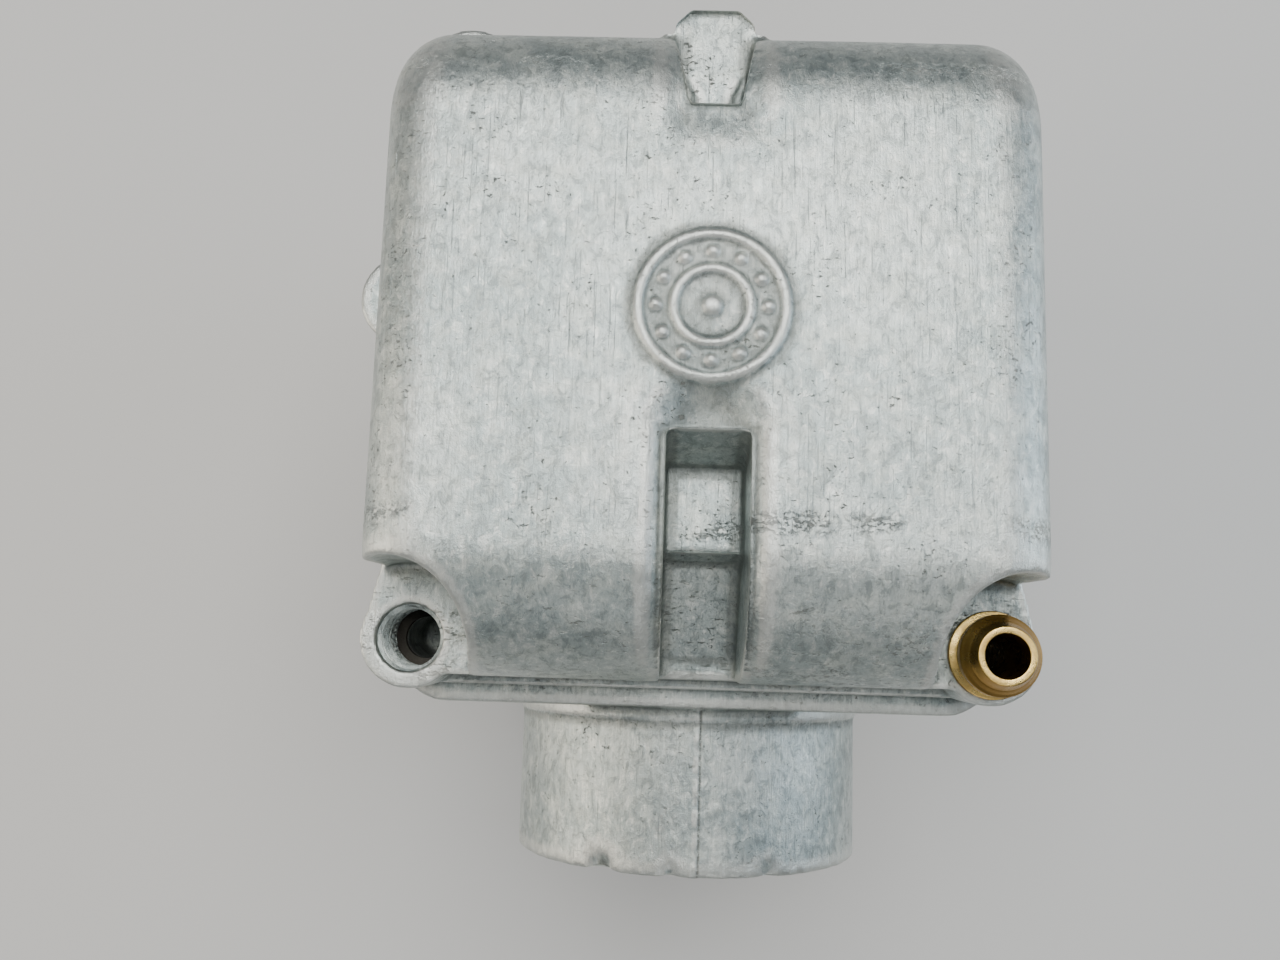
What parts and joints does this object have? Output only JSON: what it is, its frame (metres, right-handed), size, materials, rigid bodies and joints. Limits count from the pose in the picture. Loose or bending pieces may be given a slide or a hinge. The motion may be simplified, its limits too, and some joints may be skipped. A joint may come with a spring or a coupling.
{
  "type": "carburettor",
  "caption": "Horizontal constant-vacuum float carburettor standing upside down on its chamber cover, with a cast float bowl on top and a round engine spigot in front.",
  "frame": {"origin": "centre of the engine spigot's end face, on the bore axis", "axes": "+Y along the bore from the engine spigot into the body, +Z from the bore axis to the float bowl's flat face, +X to the right of someone facing +Y"},
  "size_m": [0.0815, 0.1, 0.11],
  "materials": {
    "cast_zinc": "die-cast, matte with a fine grain",
    "brass": "turned brass",
    "zinc_steel": "zinc-plated steel",
    "shaft_steel": "ground steel",
    "spring_steel": "drawn spring wire",
    "aluminium": "turned aluminium",
    "piston_plastic": "moulded black plastic",
    "float_foam": "closed-cell float material",
    "rubber": "moulded rubber",
    "gasket_paper": "pressed fibre gasket"
  },
  "bodies": {
    "housing": {"carb_body": "cast_zinc", "float_bowl": "cast_zinc", "bowl_gasket": "gasket_paper", "bowl_screws": "zinc_steel", "hose_nipple": "brass", "fuel_inlet_nipple": "brass", "chamber_cover": "cast_zinc", "cover_screws": "zinc_steel", "diaphragm": "rubber", "shaft_seals": "rubber", "idle_stop_screw": "brass", "stop_screw_spring": "spring_steel", "mixture_screw": "brass", "mixture_spring": "spring_steel", "idle_jet": "brass", "mixing_tube": "brass", "main_jet": "brass", "needle_seat": "brass", "float_pin": "shaft_steel", "starter_gasket": "gasket_paper", "starter_cover": "cast_zinc", "starter_screws": "zinc_steel", "return_spring": "spring_steel", "piston_spring": "spring_steel"},
    "throttle": {"throttle_shaft": "shaft_steel", "throttle_plate": "brass", "plate_screws": "zinc_steel", "shaft_clip": "zinc_steel", "throttle_lever": "zinc_steel", "lever_washer": "zinc_steel", "lever_nut": "zinc_steel"},
    "piston": {"vacuum_piston": "piston_plastic", "jet_needle": "brass", "needle_retainer": "piston_plastic", "diaphragm_ring": "aluminium", "ring_screws": "zinc_steel"},
    "float_unit": {"float_arm": "shaft_steel", "floats": "float_foam"},
    "inlet_needle": {"inlet_needle": "shaft_steel"},
    "starter": {"starter_disc": "brass", "starter_lever": "zinc_steel", "starter_nut": "zinc_steel"}
  },
  "joints": [
    {"name": "throttle_turn", "type": "hinge", "parent": "housing", "child": "throttle", "pos_m": [0, 0.0246, 0], "axis": [1, 0, 0], "range_deg": [0, 80], "stiffness_Nm_per_rad": 0.05, "springref_deg": -34.38, "deforming": ["return_spring"]},
    {"name": "piston_lift", "type": "slide", "parent": "housing", "child": "piston", "axis": [0, 0, -1], "range_m": [0, 0.023], "stiffness_N_per_m": 40, "springref_m": -0.02, "deforming": ["piston_spring", "diaphragm"]},
    {"name": "float_drop", "type": "hinge", "parent": "housing", "child": "float_unit", "pos_m": [0, 0.0864, 0.0284], "axis": [-1, 0, 0], "range_deg": [0, 8]},
    {"name": "needle_lift", "type": "slide", "parent": "housing", "child": "inlet_needle", "axis": [0, 0, 1], "range_m": [0, 0.0012]},
    {"name": "starter_turn", "type": "hinge", "parent": "housing", "child": "starter", "pos_m": [-0.03, 0.061, -0.004], "axis": [-1, 0, 0], "range_deg": [0, 60]}
  ],
  "couplings": [
    {"joint": "needle_lift", "follows": "float_drop", "m_per_rad": 0.0084}
  ]
}
